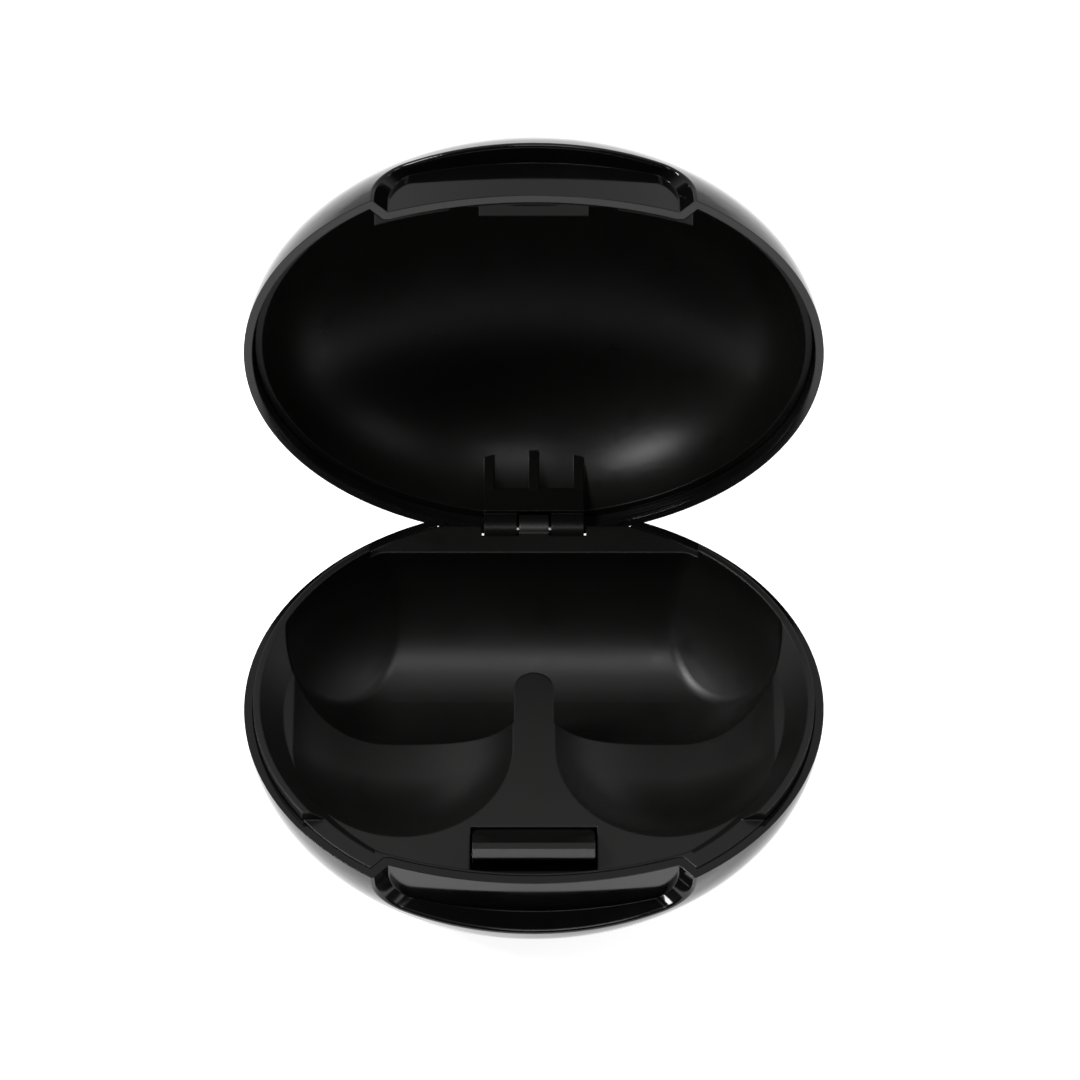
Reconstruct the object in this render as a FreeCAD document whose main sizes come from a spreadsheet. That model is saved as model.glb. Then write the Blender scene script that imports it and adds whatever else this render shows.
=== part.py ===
import FreeCAD, Part
import math
import os

# Oval clamshell case for a pair of earbuds. Each half is a gloss outer shell with a satin insert,
# the halves turn on a steel pin inside the rear edge, and a hooked catch holds the front shut.
#
# Every piece is drawn with the case closed and its rim plane at height 0: X across, Y to the rear,
# Z up. The pieces are then lifted so that the flat underside is at Z = 0, and the lid is swung open
# about the hinge pin until it stands on its stop.

doc = FreeCAD.newDocument("earbuds_case")

SIZES = {
    # outside
    "half_length": 38.0,
    "half_width": 32.5,
    "base_bulge": 26.0,
    "base_depth": 21.0,
    "lid_bulge": 23.5,
    "rim_gap": 0.1,
    "rim_band": 1.05,
    "shell_floor": 1.8,
    "base_skin": 1.6,
    "lid_skin": 1.2,
    "skin_gap": 0.1,
    "open_angle": 98.8,
    "open_top": 6.0,  # how far above the rim a cut that opens upwards reaches
    # insert in the base
    "lip_wall": 0.9,
    "lip_height": 1.5,
    "deck_drop": 1.5,
    "deck_wall": 1.2,
    "bowl_wall": 1.0,
    "pocket_length": 32.9,
    "pocket_width": 28.1,
    "trough_radius": 13.4,
    "trough_reach": 19.4,
    "trough_back": 11.5,
    "trough_drop": 2.4,
    "trough_blend": 3.0,
    "well_ball": 17.7,
    "well_reach": 17.1,
    "well_front": -5.5,
    "well_depth": 7.4,
    "divider_half": 2.6,
    "divider_tip": 6.2,
    "lip_rear_gap": 21.9,
    "lip_front_end": -18.2,
    # thumb scoop, shared by both halves
    "scoop_half": 18.7,
    "scoop_drop": 6.5,
    "scoop_corner": 4.4,
    "scoop_edge": 0.4,
    "scoop_start": -25.3,
    "scoop_run": 8.0,
    "scoop_flare": 1.0,
    "scoop_arc": 62.8,
    "scoop_centre": 34.7,
    "scoop_wall": 1.2,
    "plateau_inset": 1.6,
    "plateau_half": 20.4,
    # hinge
    "pin_inset": 2.75,
    "pin_drop": 1.5,
    "pin_radius": 0.75,
    "pin_half": 6.5,
    "pin_fit": 0.05,
    "knuckle_radius": 2.1,
    "knuckle_mid": 2.0,
    "knuckle_end": 6.7,
    "knuckle_play": 0.3,
    "knuckle_clear": 0.3,
    "knuckle_way": 4.0,
    "middle_web": 2.6,
    "leaf_front": 1.5,
    "leaf_rear": 1.0,
    "leaf_top": 2.0,
    "hinge_seat_depth": 8.0,
    "relief_radius": 4.6,
    "relief_half": 13.0,
    "relief_lead": 0.4,
    "ledge_front": 24.0,
    # insert in the lid
    "liner_rise": 2.0,
    "liner_wall": 1.0,
    "block_front": 27.7,
    "block_top": 4.5,
    "rib_top": 10.5,
    "rib_half": 0.65,
    "rib_front": 26.3,
    "rib_rear": 31.0,
    "rib_sink": 0.5,
    "land_depth": 3.5,
    # catch
    "catch_half": 7.9,
    "catch_play": 0.3,
    "catch_lead": 0.6,
    "catch_room": 3.2,
    "catch_pocket_wall": 0.9,
    "catch_pocket_floor": 1.2,
    "catch_foot": -7.6,
    "catch_rear": -18.7,
    "catch_stem": -24.3,
    "catch_nose": -24.9,
    "catch_top": 1.6,
    "catch_brow": 1.45,
    "catch_brow_start": -22.8,
    "catch_chamfer_start": -23.9,
    "catch_chamfer_end": 1.05,
    "catch_underside": 0.72,
    "catch_hook_root": 0.6,
    "catch_stem_wall": 1.6,
    "catch_neck": -4.0,
    "catch_heel": -2.6,
    "catch_corner": 1.1,
    "keeper_half": 7.0,
    "keeper_edge": -24.6,
    "notch_half": 10.8,
    "notch_front": -26.2,
    "notch_depth": 3.0,
    "keeper_top": 0.5,
    # weight under the wells
    "weight_half": 13.0,
    "weight_front": -15.0,
    "weight_rear": -3.0,
    "weight_thick": 2.4,
}

sheet = doc.addObject("Spreadsheet::Sheet", "sizes")
for row, (alias, value) in enumerate(SIZES.items(), start=1):
    sheet.set(f"A{row}", alias)
    sheet.set(f"B{row}", str(value))
    sheet.setAlias(f"B{row}", alias)
doc.recompute()


def size(alias):
    return float(SIZES[alias])


SCOOP_SKIN = size("scoop_wall")
GAP = size("skin_gap")
SLANT = math.sqrt(2)  # how far a 45 degree wall moves sideways for each unit of thickness

# ---------------------------------------------------------------- helpers

def bind(piece, **sizes):
    """Bind properties of a piece to formulas in the sheet's size names; x, y and z place it."""
    for key, text in sizes.items():
        path = f"Placement.Base.{key}" if key in ("x", "y", "z") else key
        words = []
        word = ""
        for char in str(text) + " ":
            if char.isalnum() or char in "_.":
                word += char
                continue
            words.append("sizes." + word if word in SIZES else word)
            words.append(char)
            word = ""
        piece.setExpression(path, "".join(words).strip())
    return piece


def turn(piece, axis, angle):
    """Turn a piece in place, so that its outline or its seam lies where it is wanted."""
    piece.Placement.Rotation = FreeCAD.Rotation(FreeCAD.Vector(*axis), angle)
    return piece


def ellipsoid(name, length, width, height, lower=True, **place):
    """Half of an ellipsoid with these half sizes: the lower half, or the upper one."""
    piece = bind(doc.addObject("Part::Ellipsoid", name),
                 Radius1=height, Radius2=length, Radius3=width, **place)
    piece.Angle1, piece.Angle2 = (-90, 0) if lower else (0, 90)
    return piece


def box(name, x0, x1, y0, y1, z0, z1):
    """A block between two corners."""
    return bind(doc.addObject("Part::Box", name), x=x0, y=y0, z=z0,
                Length=f"({x1}) - ({x0})", Width=f"({y1}) - ({y0})", Height=f"({z1}) - ({z0})")


def rod(name, radius, x0, x1, y, z):
    """A round bar along X."""
    piece = turn(doc.addObject("Part::Cylinder", name), (0, 1, 0), 90)
    return bind(piece, Radius=radius, Height=f"({x1}) - ({x0})", x=x0, y=y, z=z)


def post(name, radius, x, y, z0, z1):
    """A round bar along Z."""
    return bind(doc.addObject("Part::Cylinder", name),
                Radius=radius, Height=f"({z1}) - ({z0})", x=x, y=y, z=z0)


def oval(name, length, width, **place):
    """A flat ellipse."""
    return bind(doc.addObject("Part::Ellipse", name), MajorRadius=length, MinorRadius=width, **place)


def oval_drum(name, length, width, z0, z1):
    """An upright elliptical drum."""
    drum = doc.addObject("Part::Extrusion", name)
    drum.Base = oval(name + "_outline", length, width, z=z0)
    drum.DirMode = "Custom"
    drum.Dir = FreeCAD.Vector(0, 0, 1)
    drum.Solid = True
    return bind(drum, LengthFwd=f"({z1}) - ({z0})")


def loft(name, sections):
    """A straight-sided solid through closed outlines."""
    solid = doc.addObject("Part::Loft", name)
    solid.Sections = sections
    solid.Solid = True
    solid.Ruled = True
    return solid


def fuse(name, *pieces):
    joined = doc.addObject("Part::MultiFuse", name)
    joined.Shapes = list(pieces)
    joined.Refine = False
    return joined


def common(name, *pieces):
    overlap = doc.addObject("Part::MultiCommon", name)
    overlap.Shapes = list(pieces)
    overlap.Refine = False
    return overlap


def cut(name, body, *tools):
    """The body with every tool taken away."""
    result = doc.addObject("Part::Cut", name)
    result.Base = body
    result.Tool = tools[0] if len(tools) == 1 else fuse(name + "_tools", *tools)
    result.Refine = False
    return result


def capsule_bowl(name, radius, reach, y, z):
    """A round-ended trough along X: its lower half, with upright walls above height z."""
    ends = []
    for side, sign, inwards in (("left", "-", 0), ("right", "", 180)):
        ball = turn(doc.addObject("Part::Sphere", f"{name}_{side}"), (0, 0, 1), inwards)
        bind(ball, Radius=radius, x=f"{sign}({reach})", y=y, z=z)
        wall = post(f"{name}_{side}_wall", radius, f"{sign}({reach})", y, z, "open_top")
        ends += [ball, wall]
    barrel = rod(f"{name}_barrel", radius, f"-({reach})", reach, y, z)
    mouth = box(f"{name}_mouth", f"-({reach})", reach, f"{y} - ({radius})", f"{y} + {radius}", z, "open_top")
    return fuse(name, barrel, mouth, *ends)


def well_bowl(name, sign, grow):
    """A shallow round-ended bowl that runs straight back into the trough."""
    radius = f"well_ball + {grow}"
    x, centre = f"{sign} * well_reach", "well_ball - well_depth - deck_drop"
    front = turn(doc.addObject("Part::Sphere", f"{name}_front"), (0, 0, 1), 90)
    run = turn(doc.addObject("Part::Cylinder", f"{name}_run"), (1, 0, 0), -90)
    for body in (front, run):
        bind(body, Radius=radius, x=x, y="well_front", z=centre)
    bind(run, Height="trough_back - well_front")
    slab = box(f"{name}_slab", "-half_length", "half_length", "-half_width", "half_width",
               "-base_depth", "-deck_drop / 2")
    return common(name, fuse(f"{name}_form", front, run), slab)


def kinds(shape, edge):
    """The surface types of the two faces that meet at an edge."""
    return sorted(type(face.Surface).__name__ for face in shape.ancestorsOfType(edge, Part.Face))


def rounded(name, body, radius, chosen):
    """The body with every edge that `chosen` accepts rounded by this size."""
    doc.recompute()
    fillet = doc.addObject("Part::Fillet", name)
    fillet.Base = body
    fillet.Edges = [(number, size(radius), size(radius))
                    for number, edge in enumerate(body.Shape.Edges, start=1) if chosen(body.Shape, edge)]
    return fillet


def end_crease(shape, edge):
    """Where the trough's round ends run into the wall of the case."""
    pair = kinds(shape, edge)
    return edge.BoundBox.ZMin < -2 and pair.count("BSplineSurface") == 1 and (
        "Sphere" in pair or "Cylinder" in pair)


def scoop_mouth(shape, edge):
    """Where the thumb scoop breaks out of the dome."""
    spot = edge.valueAt((edge.FirstParameter + edge.LastParameter) / 2)
    bulge = size("lid_bulge") if spot.z > 0 else size("base_bulge")
    reach = (spot.x / size("half_length")) ** 2 + (spot.y / size("half_width")) ** 2 + (spot.z / bulge) ** 2
    return reach > 0.99 and abs(spot.z) > 0.5 and spot.y < size("scoop_start")


def rear_corner(shape, edge):
    """The two upright corners at the rear of the catch."""
    box = edge.BoundBox
    return box.YMin > size("catch_rear") - 0.1 and box.XLength < 0.01


def scoop_ring(name, grow, distance):
    """A rounded rectangle across Y, this far in front of the scoop's start, for a scoop grown all round."""
    half = size("scoop_half") + SLANT * grow + size("scoop_flare") * distance
    drop = size("scoop_drop") + grow
    radius = size("scoop_corner") + grow
    y = size("scoop_start") - distance
    corners = ((1, 1), (-1, 1), (-1, -1), (1, -1))
    middles = [(right * (half - radius), up * (drop - radius)) for right, up in corners]
    edges = []
    for turned, (x, z) in enumerate(middles):
        angles = [math.radians(90 * turned + part) for part in (0, 45, 90)]
        arc = [FreeCAD.Vector(x + radius * math.cos(a), y, z + radius * math.sin(a)) for a in angles]
        if edges:
            edges.append(Part.makeLine(last, arc[0]))
        edges.append(Part.Arc(*arc).toShape())
        first = edges[0].valueAt(edges[0].FirstParameter)
        last = arc[2]
    edges.append(Part.makeLine(last, first))
    ring = doc.addObject("Part::Feature", name)
    ring.Shape = Part.Wire(edges)
    return ring


def scoop(name, grow):
    """The thumb scoop as a solid: a round-cornered, flared tunnel that ends at a curved back wall."""
    rings = [scoop_ring(f"{name}_back", grow, -grow), scoop_ring(f"{name}_mouth", grow, size("scoop_run"))]
    wall = post(f"{name}_wall", f"scoop_arc - {grow}", "0", "scoop_centre", "-40", "40")
    return cut(name, loft(f"{name}_tunnel", rings), wall)


def plateau(name, z0, z1):
    """The rim land that carries the insert round the back of the scoop."""
    land = box(f"{name}_land", "-plateau_half", "plateau_half", "-half_width", "-half_width / 2", z0, z1)
    edge = post(f"{name}_edge", "scoop_arc - plateau_inset", "0", "scoop_centre", "-40", "40")
    return cut(name, land, edge)


def profile(name, half, points):
    """A bar along X with this outline in Y and Z, from -half to half."""
    body = doc.addObject("Part::Extrusion", name)
    wire = doc.addObject("Part::Feature", f"{name}_outline")
    corners = [FreeCAD.Vector(0, y, z) for y, z in points]
    wire.Shape = Part.makePolygon(corners + corners[:1])
    body.Base = wire
    body.DirMode = "Custom"
    body.Dir = FreeCAD.Vector(1, 0, 0)
    body.Solid = True
    return bind(body, LengthFwd=half, LengthRev=half)


PIN_Y = "half_width - pin_inset"
PIN_Z = "-pin_drop"


def knuckle_slot(name, x0, x1, grow):
    """Room for a knuckle that turns on the pin, open upwards."""
    radius = f"knuckle_radius + {grow}"
    turn = rod(f"{name}_turn", radius, x0, x1, PIN_Y, PIN_Z)
    way = box(f"{name}_way", x0, x1, PIN_Y, f"{PIN_Y} + {radius} + knuckle_way", PIN_Z, "open_top")
    return fuse(name, turn, way)


# ---------------------------------------------------------------- base shell

inner_length = "half_length - rim_band - skin_gap"
inner_width = "half_width - rim_band - skin_gap"
floor_top = "shell_floor - base_depth"


def base_relief(name):
    """The swept space behind the pin that the lid's heel drops into."""
    sweep = rod(f"{name}_sweep", "relief_radius", "-relief_half", "relief_half", PIN_Y, PIN_Z)
    rear = box(f"{name}_rear", "-relief_half", "relief_half",
               f"{PIN_Y} - relief_lead", "half_width + 2", "-base_depth", "0")
    above = box(f"{name}_above", "-relief_half", "relief_half",
                f"{PIN_Y} - relief_lead", "half_width + 2", PIN_Z, "open_top")
    return fuse(name, common(f"{name}_swing", sweep, rear), above)


base_outside = common(
    "base_outside",
    ellipsoid("base_bowl", "half_length", "half_width", "base_bulge"),
    box("base_slab", "-half_length - 1", "half_length + 1", "-half_width - 1", "half_width + 1",
        "-base_depth", "-rim_gap"))
base_cavity = cut(
    "base_cavity",
    common("base_inside",
           ellipsoid("base_hollow", inner_length, inner_width, "base_bulge - base_skin"),
           box("base_inner_slab", "-half_length", "half_length", "-half_width", "half_width",
               floor_top, "2")),
    scoop("base_scoop_skin", SCOOP_SKIN))
base_shell = rounded(
    "base_shell",
    cut("base_shell_form", base_outside, base_cavity, scoop("base_scoop", 0), base_relief("shell_relief")),
    "scoop_edge", scoop_mouth)

# ---------------------------------------------------------------- base tray

skin_length = "half_length - rim_band - 2 * skin_gap"
skin_width = "half_width - rim_band - 2 * skin_gap"
skin_bulge = "base_bulge - base_skin - skin_gap"

tray_room = cut(
    "tray_room",
    fuse("tray_envelope",
         ellipsoid("tray_bowl", skin_length, skin_width, skin_bulge),
         oval_drum("tray_drum", skin_length, skin_width, "0", "lip_height")),
    scoop("tray_scoop_room", SCOOP_SKIN + GAP))

deck = box("deck", "-half_length", "half_length", "-half_width", "half_width",
           "-deck_drop - deck_wall", "-deck_drop")
rim = box("rim", "-half_length", "half_length", "-half_width", "half_width",
          "-deck_drop - deck_wall", "-rim_gap")
lip = cut("lip",
          box("lip_block", "-half_length", "half_length", "-half_width", "half_width",
              "-rim_gap", "lip_height"),
          box("lip_rear", "-lip_rear_gap", "lip_rear_gap", "0", "half_width + 1", "-rim_gap", "3"),
          box("lip_front", "-half_length", "half_length", "-half_width - 1", "lip_front_end",
              "-rim_gap", "3"))
pocket = loft("pocket", [
    oval("pocket_foot", "pocket_length", "pocket_width", z="-deck_drop"),
    oval("pocket_mouth", "half_length - rim_band - 2 * skin_gap - lip_wall",
         "half_width - rim_band - 2 * skin_gap - lip_wall", z="lip_height + 0.01")])
rim_wall = cut("rim_wall", fuse("rim_blocks", rim, lip), pocket)

bowls_outside = common(
    "bowls_outside",
    fuse("bowl_skins",
         capsule_bowl("trough_skin", "trough_radius + bowl_wall", "trough_reach",
                      "trough_back", "-trough_drop"),
         well_bowl("left_skin", "-1", "bowl_wall"),
         well_bowl("right_skin", "1", "bowl_wall")),
    box("bowls_slab", "-half_length", "half_length", "-half_width", "half_width",
        "-base_depth", "-deck_drop - deck_wall / 2"))
ledge = box("ledge", "-lip_rear_gap", "lip_rear_gap", "ledge_front", "half_width",
            "-deck_drop - deck_wall", "-rim_gap")
hinge_seat = box("hinge_seat", "-relief_half - deck_wall", "relief_half + deck_wall",
                 "ledge_front", "half_width", "-hinge_seat_depth", "-rim_gap")
catch_pocket = cut(
    "catch_pocket",
    box("catch_pocket_block", "-catch_half - catch_play - 1", "catch_half + catch_play + 1",
        "catch_stem - catch_play - catch_pocket_wall", "catch_stem + catch_room + catch_pocket_wall + 0.1",
        "catch_foot - catch_pocket_floor", "-deck_drop"),
    box("catch_pocket_room", "-catch_half - catch_play", "catch_half + catch_play",
        "catch_stem - catch_play", "catch_stem + catch_room", "catch_foot - skin_gap", "open_top"))

tray_block = common(
    "tray_block",
    fuse("tray_solids", rim_wall, deck, bowls_outside, ledge, hinge_seat, catch_pocket,
         plateau("tray_land", "-deck_drop - deck_wall", "-rim_gap")),
    tray_room)

trough_form = common(
    "trough_form",
    capsule_bowl("trough", "trough_radius", "trough_reach", "trough_back", "-trough_drop"),
    fuse("trough_limit",
         ellipsoid("trough_bowl", "half_length - rim_band - 2 * skin_gap - lip_wall",
                   "half_width - rim_band - 2 * skin_gap - lip_wall", "base_bulge - base_skin - bowl_wall"),
         oval_drum("trough_drum", "half_length - rim_band - 2 * skin_gap - lip_wall",
                   "half_width - rim_band - 2 * skin_gap - lip_wall", "0", "7")))
trough_space = rounded("trough_space", trough_form, "trough_blend", end_crease)
catch_window = box("catch_window", "-catch_half - catch_play", "catch_half + catch_play",
                   "catch_stem - catch_play - catch_lead", "catch_rear + catch_play",
                   "catch_neck - catch_lead", "open_top")
divider = common(
    "divider",
    fuse("divider_form",
         box("divider_bar", "-divider_half", "divider_half", "well_front", "divider_tip - divider_half",
             "-base_depth", "-deck_drop"),
         post("divider_end", "divider_half", "0", "divider_tip - divider_half",
              "-base_depth", "-deck_drop")),
    capsule_bowl("divider_limit", "trough_radius + bowl_wall / 2", "trough_reach",
                 "trough_back", "-trough_drop"))

tray_hollowed = cut("tray_hollowed", tray_block, trough_space,
                    well_bowl("left_well", "-1", "0"), well_bowl("right_well", "1", "0"),
                    catch_window,
                    box("catch_stem_way", "-catch_half - catch_play", "catch_half + catch_play",
                        "catch_stem - catch_play", "catch_stem + catch_room",
                        "catch_foot - skin_gap", "open_top"),
                    base_relief("tray_relief"))
middle_knuckle = fuse(
    "middle_knuckle",
    rod("middle_barrel", "knuckle_radius", "-knuckle_mid", "knuckle_mid", PIN_Y, PIN_Z),
    box("middle_web", "-knuckle_mid", "knuckle_mid", f"{PIN_Y} - middle_web", PIN_Y,
        f"{PIN_Z} - knuckle_radius", PIN_Z))
knuckle_slots = []
for side, sign in (("left", "-"), ("right", "")):
    near, far = "knuckle_mid", "knuckle_end + knuckle_play"
    ends = (f"-({far})", f"-({near})") if sign else (near, far)
    knuckle_slots.append(knuckle_slot(f"{side}_slot", *ends, "knuckle_clear"))
base_tray = cut(
    "base_tray",
    fuse("tray_and_knuckle", cut("tray_slotted", tray_hollowed, *knuckle_slots), divider, middle_knuckle),
    rod("tray_pin_bore", "pin_radius + 0.01", "-knuckle_mid - 1", "knuckle_mid + 1", PIN_Y, PIN_Z))

# ---------------------------------------------------------------- hinge pin and catch

hinge_pin = rod("hinge_pin", "pin_radius", "-pin_half", "pin_half", PIN_Y, PIN_Z)

catch_stem_rear = size("catch_stem") + size("catch_stem_wall")
catch_form = profile("catch_form", "catch_half", [
    (size("catch_rear"), -size("deck_drop") - size("skin_gap")),
    (size("catch_brow_start"), size("catch_brow")),
    (size("catch_chamfer_start"), size("catch_top")),
    (size("catch_nose"), size("catch_chamfer_end")),
    (size("catch_nose"), size("catch_underside")),
    (size("catch_stem"), size("catch_hook_root")),
    (size("catch_stem"), size("catch_foot")),
    (catch_stem_rear, size("catch_foot")),
    (catch_stem_rear, size("catch_neck")),
    (size("catch_rear"), size("catch_heel"))])
catch = rounded("catch", catch_form, "catch_corner", rear_corner)

# ---------------------------------------------------------------- weight

# A steel plate on the floor under the wells keeps the open case from tipping back.
base_weight = box("base_weight", "-weight_half", "weight_half", "weight_front", "weight_rear",
                  floor_top, f"{floor_top} + weight_thick")

# ---------------------------------------------------------------- lid shell

lid_inner_bulge = "lid_bulge - lid_skin"
lid_outside = common(
    "lid_outside",
    ellipsoid("lid_dome", "half_length", "half_width", "lid_bulge", lower=False),
    box("lid_slab", "-half_length - 1", "half_length + 1", "-half_width - 1", "half_width + 1",
        "rim_gap", "lid_bulge + 1"))
lid_cavity = cut(
    "lid_cavity",
    fuse("lid_inside",
         ellipsoid("lid_hollow", inner_length, inner_width, lid_inner_bulge, lower=False),
         oval_drum("lid_mouth", inner_length, inner_width, "-1", "0.5")),
    scoop("lid_scoop_skin", SCOOP_SKIN))
lid_shell = rounded(
    "lid_shell",
    cut("lid_shell_form", lid_outside, lid_cavity, scoop("lid_scoop", 0),
        rod("lid_knuckle_room", "knuckle_radius + skin_gap", "-knuckle_end - knuckle_play",
            "knuckle_end + knuckle_play", PIN_Y, PIN_Z)),
    "scoop_edge", scoop_mouth)

# ---------------------------------------------------------------- lid liner

liner_room = cut(
    "liner_room",
    common("liner_envelope",
           ellipsoid("liner_dome", skin_length, skin_width, f"{lid_inner_bulge} - skin_gap", lower=False),
           box("liner_slab", "-half_length", "half_length", "-half_width", "half_width",
               "rim_gap", "lid_bulge")),
    scoop("liner_scoop_room", SCOOP_SKIN + GAP))
rebate = cut(
    "rebate",
    box("rebate_slab", "-half_length", "half_length", "-half_width - 1", "half_width + 1",
        "-1", "liner_rise"),
    plateau("liner_land", "-1", "land_depth + 0.5"))
liner_bowl = cut(
    "liner_bowl",
    fuse("liner_hollow",
         ellipsoid("liner_inner", f"{skin_length} - liner_wall", f"{skin_width} - liner_wall",
                   f"{lid_inner_bulge} - skin_gap - liner_wall", lower=False),
         oval_drum("liner_mouth", f"{skin_length} - liner_wall", f"{skin_width} - liner_wall", "-1", "0.5")),
    scoop("liner_scoop_skin", SCOOP_SKIN + GAP + size("liner_wall")),
    plateau("liner_bowl_land", "-2", "land_depth"))
catch_notch = box("catch_notch", "-notch_half", "notch_half", "notch_front", "-20", "-1", "notch_depth")
keeper = box("keeper", "-keeper_half", "keeper_half", "notch_front - 0.2", "keeper_edge",
             "rim_gap", "keeper_top")

block_form = common(
    "block_form",
    box("block", "-knuckle_end", "knuckle_end", "block_front", "half_width", "rim_gap", "block_top"),
    liner_room)
liner_shape = fuse("liner_shape",
                   cut("liner_cup", liner_room, liner_bowl, rebate, catch_notch),
                   common("keeper_form", keeper, liner_room),
                   block_form)

ribs = []
rib_foot = size("block_top") - size("rib_sink")
for place, centre in (("left", "-knuckle_end + rib_half"), ("middle", "0"),
                      ("right", "knuckle_end - rib_half")):
    rib = profile(f"{place}_rib", "rib_half", [
        (size("block_front") + size("rib_half"), rib_foot),
        (size("block_front"), rib_foot),
        (size("rib_front"), size("rib_top")),
        (size("rib_rear"), size("rib_top")),
        (size("rib_rear"), rib_foot)])
    ribs.append(bind(rib, x=centre))
rib_form = common("rib_form", fuse("rib_blocks", *ribs), liner_room)

barrels = []
for side, sign in (("left", "-"), ("right", "")):
    near, far = "knuckle_mid + knuckle_play", "knuckle_end"
    ends = (f"-({far})", f"-({near})") if sign else (near, far)
    barrels.append(rod(f"{side}_barrel", "knuckle_radius", *ends, PIN_Y, PIN_Z))
    barrels.append(box(f"{side}_leaf", *ends, f"{PIN_Y} - leaf_front", f"{PIN_Y} + leaf_rear",
                       PIN_Z, "leaf_top"))
lid_liner = cut(
    "lid_liner",
    fuse("liner_and_knuckles", liner_shape, rib_form, *barrels),
    knuckle_slot("middle_slot", "-knuckle_mid - knuckle_play", "knuckle_mid + knuckle_play",
                 "knuckle_clear"),
    rod("liner_pin_bore", "pin_radius + pin_fit", "-knuckle_end - 1", "knuckle_end + 1", PIN_Y, PIN_Z))

# ---------------------------------------------------------------- place, check, write

BASE_PIECES = {"base_shell": base_shell, "base_tray": base_tray, "base_weight": base_weight,
               "hinge_pin": hinge_pin, "catch": catch}
LID_PIECES = {"lid_shell": lid_shell, "lid_liner": lid_liner}

doc.recompute()
lift = FreeCAD.Placement(FreeCAD.Vector(0, 0, size("base_depth")), FreeCAD.Rotation())
pin_point = FreeCAD.Vector(0, size("half_width") - size("pin_inset"), -size("pin_drop"))
swing = FreeCAD.Placement(FreeCAD.Vector(0, 0, 0),
                          FreeCAD.Rotation(FreeCAD.Vector(1, 0, 0), -size("open_angle")), pin_point)

failed = [item.Name for item in doc.Objects if "Invalid" in item.State or "Error" in item.State]
if failed:
    raise RuntimeError(f"these objects did not build: {failed}")

os.makedirs("parts", exist_ok=True)
for pieces, move in ((BASE_PIECES, lift), (LID_PIECES, lift.multiply(swing))):
    for node, piece in pieces.items():
        piece.Label = node
        shape = piece.Shape.copy()
        shape.Placement = move.multiply(shape.Placement)
        if shape.isNull() or not shape.isValid():
            raise RuntimeError(f"{node} has no valid shape")
        print(node, "solids", len(shape.Solids), "volume", round(shape.Volume, 1),
              "faces", len(shape.Faces))
        shape.exportStep(f"parts/{node}.step")
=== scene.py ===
# %% [markdown]
# # An open oval case for a pair of earbuds
#
# The real object is a small clamshell of moulded plastic. Each half has a polished black outer shell
# and a satin black insert, a steel pin joins them at the rear, and a hooked tongue shuts the front.
# The CAD frame already holds every piece at its true size, so this file has three jobs: give each
# piece its finish, soften its edges the way a mould leaves them, and light the case in a pale studio.

import math

import bmesh
import bpy
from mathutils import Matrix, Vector

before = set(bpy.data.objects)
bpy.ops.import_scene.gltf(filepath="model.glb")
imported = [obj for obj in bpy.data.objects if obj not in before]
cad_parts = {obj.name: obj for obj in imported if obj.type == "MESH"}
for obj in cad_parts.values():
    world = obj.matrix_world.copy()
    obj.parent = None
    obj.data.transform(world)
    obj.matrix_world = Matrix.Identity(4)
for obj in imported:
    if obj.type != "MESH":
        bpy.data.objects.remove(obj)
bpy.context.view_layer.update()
MM = 0.001
print("pieces in the frame:", ", ".join(sorted(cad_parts)))

# %% [markdown]
# ## Writing shader maths as ordinary sums
#
# A finish is a small network of nodes. Wiring each node by hand is long and hard to read, so a
# socket is wrapped in a class that knows how to add and multiply: `0.3 + grain * 0.1` then makes the
# Math nodes itself. Every other node comes from one method, which applies the node's settings first
# and its inputs second, because some settings change which inputs exist.


# %% Sockets that can be added and multiplied
BEVEL_SAMPLES = 6


class Value:
    """One output socket, with the operators that shader sums need."""

    def __init__(self, finish, socket):
        self.finish = finish
        self.socket = socket

    def sum_with(self, operation, first, second):
        return self.finish.node("ShaderNodeMath", {"operation": operation}, {0: first, 1: second})

    def __add__(self, other):
        return self.sum_with("ADD", self, other)

    def __radd__(self, other):
        return self.sum_with("ADD", other, self)

    def __sub__(self, other):
        return self.sum_with("SUBTRACT", self, other)

    def __rsub__(self, other):
        return self.sum_with("SUBTRACT", other, self)

    def __mul__(self, other):
        return self.sum_with("MULTIPLY", self, other)

    def __rmul__(self, other):
        return self.sum_with("MULTIPLY", other, self)


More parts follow.
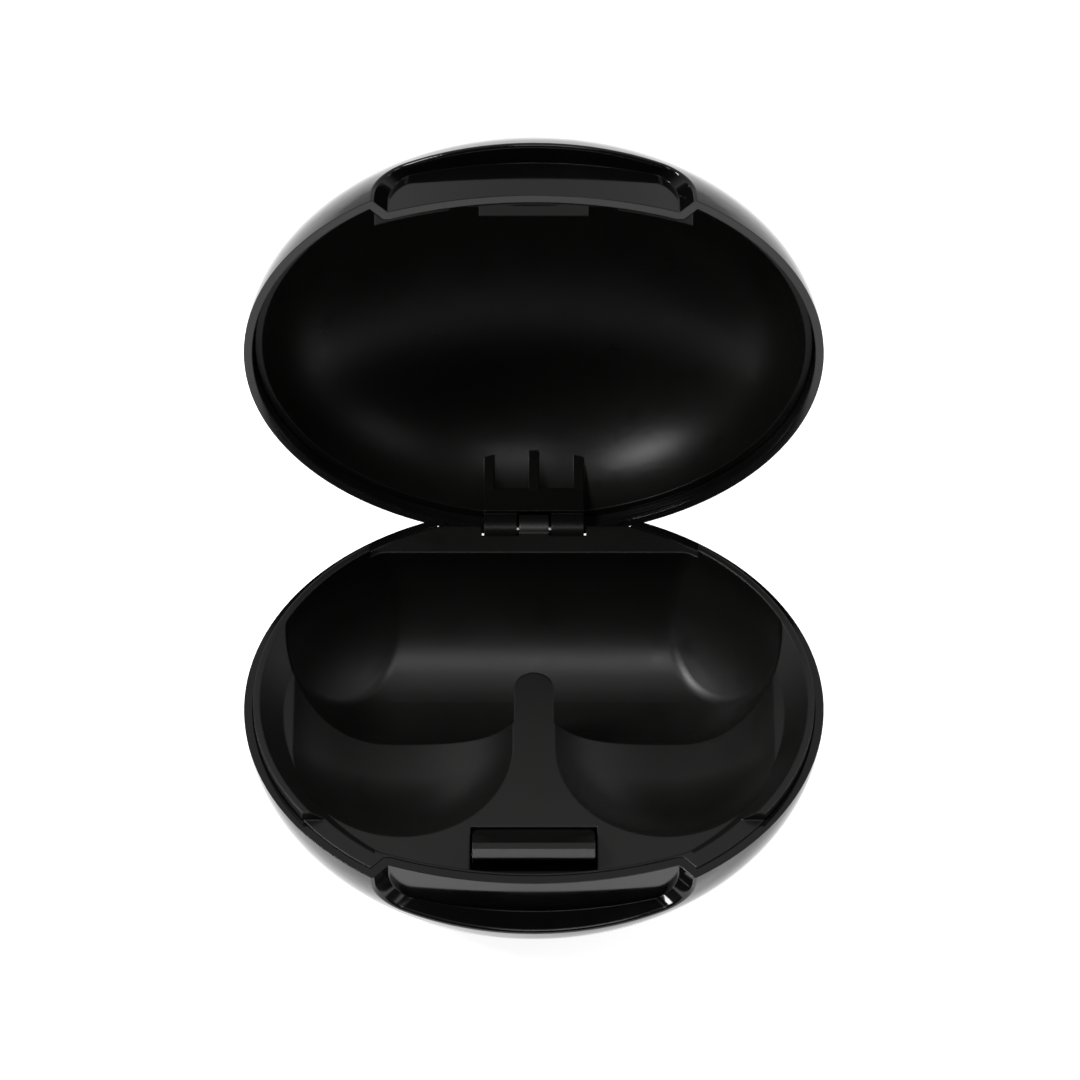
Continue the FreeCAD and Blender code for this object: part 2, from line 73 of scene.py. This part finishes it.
class Finish:
    """A material with one Principled shader, written as Python expressions."""

    def __init__(self, name, **constants):
        self.material = bpy.data.materials.new(name)
        self.material.use_nodes = True
        self.tree = self.material.node_tree
        self.shader = self.tree.nodes["Principled BSDF"]
        self.set(self.shader, constants)
        self.place = self.node("ShaderNodeTexCoord", output="Object")

    def set(self, node, inputs):
        """Give a node's inputs their values or links."""
        for key, value in inputs.items():
            socket = node.inputs[key.replace("_", " ") if isinstance(key, str) else key]
            if isinstance(value, Value):
                self.tree.links.new(value.socket, socket)
            else:
                socket.default_value = value

    def node(self, kind, settings=None, inputs=None, output=0):
        """Any node: its type, its settings, then the values or links of its sockets."""
        node = self.tree.nodes.new(kind)
        for key, value in (settings or {}).items():
            setattr(node, key, value)
        self.set(node, inputs or {})
        return Value(self, node.outputs[output])

    def stretched(self, scale):
        """Object coordinates scaled by a different amount along each axis."""
        return self.node("ShaderNodeMapping", {}, {"Vector": self.place, "Scale": scale})

    def noise(self, size, detail=2.0, rough=0.5, where=None):
        """Soft noise whose blobs measure about `size` metres."""
        return self.node("ShaderNodeTexNoise", {},
                         {"Vector": where or self.place, "Scale": 1 / size, "Detail": detail,
                          "Roughness": rough}, output="Fac")

    def ramp(self, value, low, high):
        """0 below low, 1 above high, straight between."""
        return self.node("ShaderNodeMapRange", {"clamp": True},
                         {"Value": value, "From Min": low, "From Max": high})

    def blend(self, amount, first, second):
        """A colour between two colours, which sit on sockets 6 and 7; the result is output 2."""
        settings = {"data_type": "RGBA", "blend_type": "MIX"}
        inputs = {0: amount, 6: first, 7: second}
        return self.node("ShaderNodeMix", settings, inputs, output=2)

    def rounded(self, radius):
        """The surface direction with every edge rounded by this radius."""
        return self.node("ShaderNodeBevel", {"samples": BEVEL_SAMPLES}, {"Radius": radius})

    def bump(self, height, depth, strength, under):
        """A relief `depth` metres deep on top of the direction `under`."""
        return self.node("ShaderNodeBump", {}, {"Height": height, "Distance": depth,
                                                "Strength": strength, "Normal": under})

    def finish(self, **varying):
        """Send the varying values to the shader and return the material."""
        self.set(self.shader, varying)
        print("finish", self.material.name, "uses", len(self.tree.nodes), "nodes")
        return self.material


print("edge rounding takes", BEVEL_SAMPLES, "samples")

# %% [markdown]
# ## Polished black plastic
#
# The outer shells come out of a mirror-polished mould. The colour is nearly black all over. What the
# eye reads is the reflection, and three small things keep it from looking like glass: a faint
# orange-peel swell a few millimetres wide, hairline rubs from pockets and tables, and soft patches
# where fingers have dulled the gloss. All three are noises on Object coordinates, so they stay on the
# shell when the lid swings.
#
# No moulded edge is perfectly sharp: each one has a radius of a tenth of a millimetre or two, and that
# thin round is what catches the light and draws the outline of every step. Real bevels this small
# would multiply the triangles, so the Bevel node turns the surface direction smoothly across each
# edge instead, and the relief of the plastic is laid on top of it.

# %% The polished outer finish
EDGE_ROUND = 0.18 * MM
SHELL_BLACK = (0.0022, 0.0022, 0.0024, 1.0)
SHELL_WORN = (0.0048, 0.0048, 0.0050, 1.0)
SHELL_ROUGHNESS = 0.075
SHELL_COAT = 0.04
PATCH_SIZE = 16 * MM
PEEL_SIZE = 2.6 * MM
PEEL_DEPTH = 0.003 * MM
RUB_DEPTH = 0.0005 * MM
RUBS_ACROSS = (140.0, 2600.0, 1900.0)
RUBS_ALONG = (2400.0, 160.0, 1700.0)


def polished_black():
    """The mould-polished plastic of both shells."""
    gloss = Finish("polished_black", Specular_IOR_Level=0.28, IOR=1.5, Coat_Roughness=0.04)
    handled = gloss.ramp(gloss.noise(PATCH_SIZE, detail=4.0, rough=0.6), 0.42, 0.70)
    across = gloss.noise(1.0, detail=3.0, where=gloss.stretched(RUBS_ACROSS))
    along = gloss.noise(1.0, detail=3.0, where=gloss.stretched(RUBS_ALONG))
    rubs = gloss.ramp(across, 0.62, 0.74) + gloss.ramp(along, 0.64, 0.76)
    swell = gloss.noise(PEEL_SIZE, detail=1.0)
    peel = gloss.bump(swell, PEEL_DEPTH, 0.5, gloss.rounded(EDGE_ROUND))
    return gloss.finish(
        Base_Color=gloss.blend(handled * 0.6 + rubs * 0.2, SHELL_BLACK, SHELL_WORN),
        Roughness=SHELL_ROUGHNESS + handled * 0.055 + rubs * 0.05,
        Coat_Weight=SHELL_COAT - handled * 0.03,
        Normal=gloss.bump(rubs, RUB_DEPTH, 0.35, peel))


print("shell edges rounded by", round(EDGE_ROUND / MM, 2), "mm")

# %% [markdown]
# ## Satin black plastic
#
# The inserts are moulded against a finely spark-eroded steel, which prints a grain of about a tenth
# of a millimetre. The grain scatters the highlight into a soft glow. A cloudy change of roughness,
# some ten millimetres wide, shows how the plastic flowed, and where buds and fingers rub, the grain
# is slightly polished. One recipe serves three pieces: the tray, which is a little shinier from use,
# the deep dull bowl of the lid, and the catch, which the thumb has polished.

# %% The satin finishes
SATIN_DEEP = (0.0022, 0.0021, 0.0020, 1.0)
SATIN_PALE = (0.0046, 0.0044, 0.0041, 1.0)
FLOW_SIZE = 11 * MM
RUBBED_SIZE = 5 * MM
GRAIN_DEPTH = 0.004 * MM


def satin_black(name, gloss, roughness, grain_size, edge):
    """The grained plastic of the inserts and the catch; `edge` is the radius of its edges."""
    satin = Finish(name, Specular_IOR_Level=gloss, IOR=1.49)
    flow = satin.noise(FLOW_SIZE, detail=3.0, rough=0.55)
    rubbed = satin.ramp(satin.noise(RUBBED_SIZE, detail=5.0, rough=0.65), 0.56, 0.74)
    grain = satin.noise(grain_size, detail=3.0, rough=0.7)
    pits = satin.node("ShaderNodeTexVoronoi", {"feature": "F1"},
                      {"Vector": satin.place, "Scale": 0.6 / grain_size}, output="Distance")
    relief = satin.bump(grain + pits * 0.5, GRAIN_DEPTH, 0.5, satin.rounded(edge))
    return satin.finish(
        Base_Color=satin.blend(flow * 0.6 + grain * 0.4, SATIN_DEEP, SATIN_PALE),
        Roughness=roughness + flow * 0.10 - rubbed * 0.06 + grain * 0.04,
        Normal=relief)


print("satin clouds measure", round(FLOW_SIZE / MM, 1), "mm")

# %% [markdown]
# ## Steel
#
# The pin is ground, so its marks run round it; the weight is cut from rolled sheet, so its marks run
# along it. Both are the same recipe: a noise drawn out along the marks drives the roughness and a
# very shallow relief.

# %% The steel finish
STEEL_DARK = (0.30, 0.30, 0.31, 1.0)
STEEL_LIGHT = (0.56, 0.56, 0.57, 1.0)
STAIN_SIZE = 4 * MM
MARK_DEPTH = 0.003 * MM
MARKS_ROUND_THE_PIN = (5200.0, 300.0, 300.0)
MARKS_ALONG_THE_SHEET = (160.0, 4200.0, 4200.0)


def steel(name, grain, roughness):
    """Bare steel; `grain` is how closely its marks follow each other along each axis."""
    metal = Finish(name, Metallic=1.0)
    marks = metal.noise(1.0, detail=4.0, rough=0.6, where=metal.stretched(grain))
    stain = metal.noise(STAIN_SIZE, detail=3.0)
    return metal.finish(
        Base_Color=metal.blend(marks * 0.6 + stain * 0.4, STEEL_DARK, STEEL_LIGHT),
        Roughness=roughness + marks * 0.16,
        Normal=metal.bump(marks, MARK_DEPTH, 0.4, metal.rounded(EDGE_ROUND)))


print("steel stains measure", round(STAIN_SIZE / MM, 1), "mm")

# %% Give each piece its finish
INSERT_GRAIN = 0.16 * MM
CATCH_GRAIN = 0.12 * MM
TRAY_EDGE = 0.35 * MM
LINER_EDGE = 0.25 * MM
CATCH_EDGE = 0.15 * MM

outer = polished_black()
FINISHES = {
    "base_shell": outer,
    "lid_shell": outer,
    "base_tray": satin_black("satin_tray", gloss=0.34, roughness=0.30,
                             grain_size=INSERT_GRAIN, edge=TRAY_EDGE),
    "lid_liner": satin_black("satin_liner", gloss=0.12, roughness=0.25,
                             grain_size=INSERT_GRAIN, edge=LINER_EDGE),
    "catch": satin_black("satin_catch", gloss=0.60, roughness=0.16,
                         grain_size=CATCH_GRAIN, edge=CATCH_EDGE),
    "hinge_pin": steel("ground_steel", grain=MARKS_ROUND_THE_PIN, roughness=0.22),
    "base_weight": steel("rolled_steel", grain=MARKS_ALONG_THE_SHEET, roughness=0.34),
}
for node, material in FINISHES.items():
    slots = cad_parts[node].data.materials
    slots.clear()
    slots.append(material)
    print(node, "wears", material.name)

# %% [markdown]
# ## The studio
#
# Gloss black has almost no colour of its own, so the studio paints it. The case stands on a plain
# pale light table, which gives the shells the white edges along their flanks. The room is pale at the
# sides and rear and has a dark drape behind the camera, so the bowls that face forward stay black.
# Three softboxes do the rest: the main one, high on the left, puts the glow into the lower right of
# the lid, one overhead keeps the trough and the catch readable, and a weak one fills from the right.

# %% Floor and world
WHITE = (1.0, 1.0, 1.0, 1.0)
FLOOR_DULL = (0.90, 0.90, 0.90, 1.0)
FLOOR_CLEAN = (0.93, 0.93, 0.93, 1.0)
FLOOR_SIDE = 3.0
FLOOR_GLOW = 0.9
CLOUD_SIZE = 9 * MM
WALL_TOP = 0.30
CEILING_START = 0.60
WALL_LIGHT = 1.0
CEILING_LIGHT = 0.70
DRAPE_EDGE = -0.55
ROOM_EDGE = 0.40
DRAPE_LIGHT = 0.03


def pale_floor():
    """A square sheet at the height of the ground, which glows like a light table."""
    sheet = bmesh.new()
    bmesh.ops.create_grid(sheet, x_segments=1, y_segments=1, size=FLOOR_SIDE / 2)
    mesh = bpy.data.meshes.new("floor")
    sheet.to_mesh(mesh)
    sheet.free()
    floor = bpy.data.objects.new("floor", mesh)
    bpy.context.scene.collection.objects.link(floor)
    table = Finish("pale_light_table", Specular_IOR_Level=0.1, Emission_Color=WHITE,
                   Emission_Strength=FLOOR_GLOW)
    cloud = table.noise(CLOUD_SIZE, detail=4.0)
    mesh.materials.append(table.finish(
        Base_Color=table.blend(cloud, FLOOR_DULL, FLOOR_CLEAN),
        Roughness=0.85 + cloud * 0.1))


pale_floor()


def fade(tree, value, start, end, first, last):
    """A strength that slides from `first` to `last` as the value goes from start to end."""
    slide = tree.nodes.new("ShaderNodeMapRange")
    slide.interpolation_type = "SMOOTHSTEP"
    for key, number in (("From Min", start), ("From Max", end)):
        slide.inputs[key].default_value = number
    for key, source in (("Value", value), ("To Min", first), ("To Max", last)):
        if isinstance(source, float):
            slide.inputs[key].default_value = source
        else:
            tree.links.new(source, slide.inputs[key])
    return slide.outputs["Result"]


def studio_room():
    """Pale walls at the sides and rear under a dim ceiling, with a dark drape behind the camera."""
    world = bpy.data.worlds.new("pale_room")
    world.use_nodes = True
    tree = world.node_tree
    parts = tree.nodes.new("ShaderNodeSeparateXYZ")
    tree.links.new(tree.nodes.new("ShaderNodeTexCoord").outputs["Generated"], parts.inputs[0])
    rear = fade(tree, parts.outputs["Z"], WALL_TOP, CEILING_START, WALL_LIGHT, CEILING_LIGHT)
    room = fade(tree, parts.outputs["Y"], DRAPE_EDGE, ROOM_EDGE, DRAPE_LIGHT, rear)
    tree.links.new(room, tree.nodes["Background"].inputs["Strength"])
    tree.nodes["Background"].inputs["Color"].default_value = WHITE
    bpy.context.scene.world = world


studio_room()
bpy.context.scene.view_settings.view_transform = "Standard"
print("floor", FLOOR_SIDE, "m wide")

# %% Lamps
RIM = Vector((0.0, 0.0, 21 * MM))


def soft_lamp(name, place, width, height, watts):
    """A rectangular softbox that faces the rim of the base."""
    light = bpy.data.lights.new(name, "AREA")
    light.shape = "RECTANGLE"
    light.size = width
    light.size_y = height
    light.energy = watts
    lamp = bpy.data.objects.new(name, light)
    lamp.location = RIM + Vector(place)
    lamp.rotation_euler = (RIM - lamp.location).to_track_quat("-Z", "Y").to_euler()
    bpy.context.scene.collection.objects.link(lamp)
    print(name, "at", [round(value, 2) for value in lamp.location], watts, "W")


soft_lamp("main_softbox", place=(-0.55, -0.11, 0.73), width=0.16, height=0.30, watts=6.5)
soft_lamp("overhead_softbox", place=(0.08, -0.24, 0.92), width=0.36, height=0.26, watts=1.6)
soft_lamp("right_softbox", place=(0.70, -0.15, 0.55), width=0.20, height=0.40, watts=0.5)

# %% [markdown]
# ## The camera
#
# The case is seen from the front and well above, a little over fifty degrees, with a long lens, so
# that the two ovals come out almost the same width. The camera is placed by its distance from the
# rear of the rim and aimed just below it.

# %% Camera
ELEVATION = math.radians(53.0)
DISTANCE = 0.756
FOCAL = 187.3
SENSOR = 36.0
NEAR_CLIP = 0.01
REAR_OF_RIM = Vector((0.0, 32.5 * MM, RIM.z))
AIM_BELOW = 4.44 * MM
AIM_RIGHT = 0.81 * MM

upward = Vector((0.0, math.sin(ELEVATION), math.cos(ELEVATION)))
backward = Vector((0.0, -math.cos(ELEVATION), math.sin(ELEVATION)))
aim = REAR_OF_RIM - upward * AIM_BELOW + Vector((AIM_RIGHT, 0.0, 0.0))
camera_data = bpy.data.cameras.new("camera")
camera_data.lens = FOCAL
camera_data.sensor_width = SENSOR
camera_data.clip_start = NEAR_CLIP
camera = bpy.data.objects.new("camera", camera_data)
camera.location = aim + backward * DISTANCE
camera.rotation_euler = (-backward).to_track_quat("-Z", "Y").to_euler()
bpy.context.scene.collection.objects.link(camera)
bpy.context.scene.camera = camera
print("camera at", [round(value, 3) for value in camera.location])
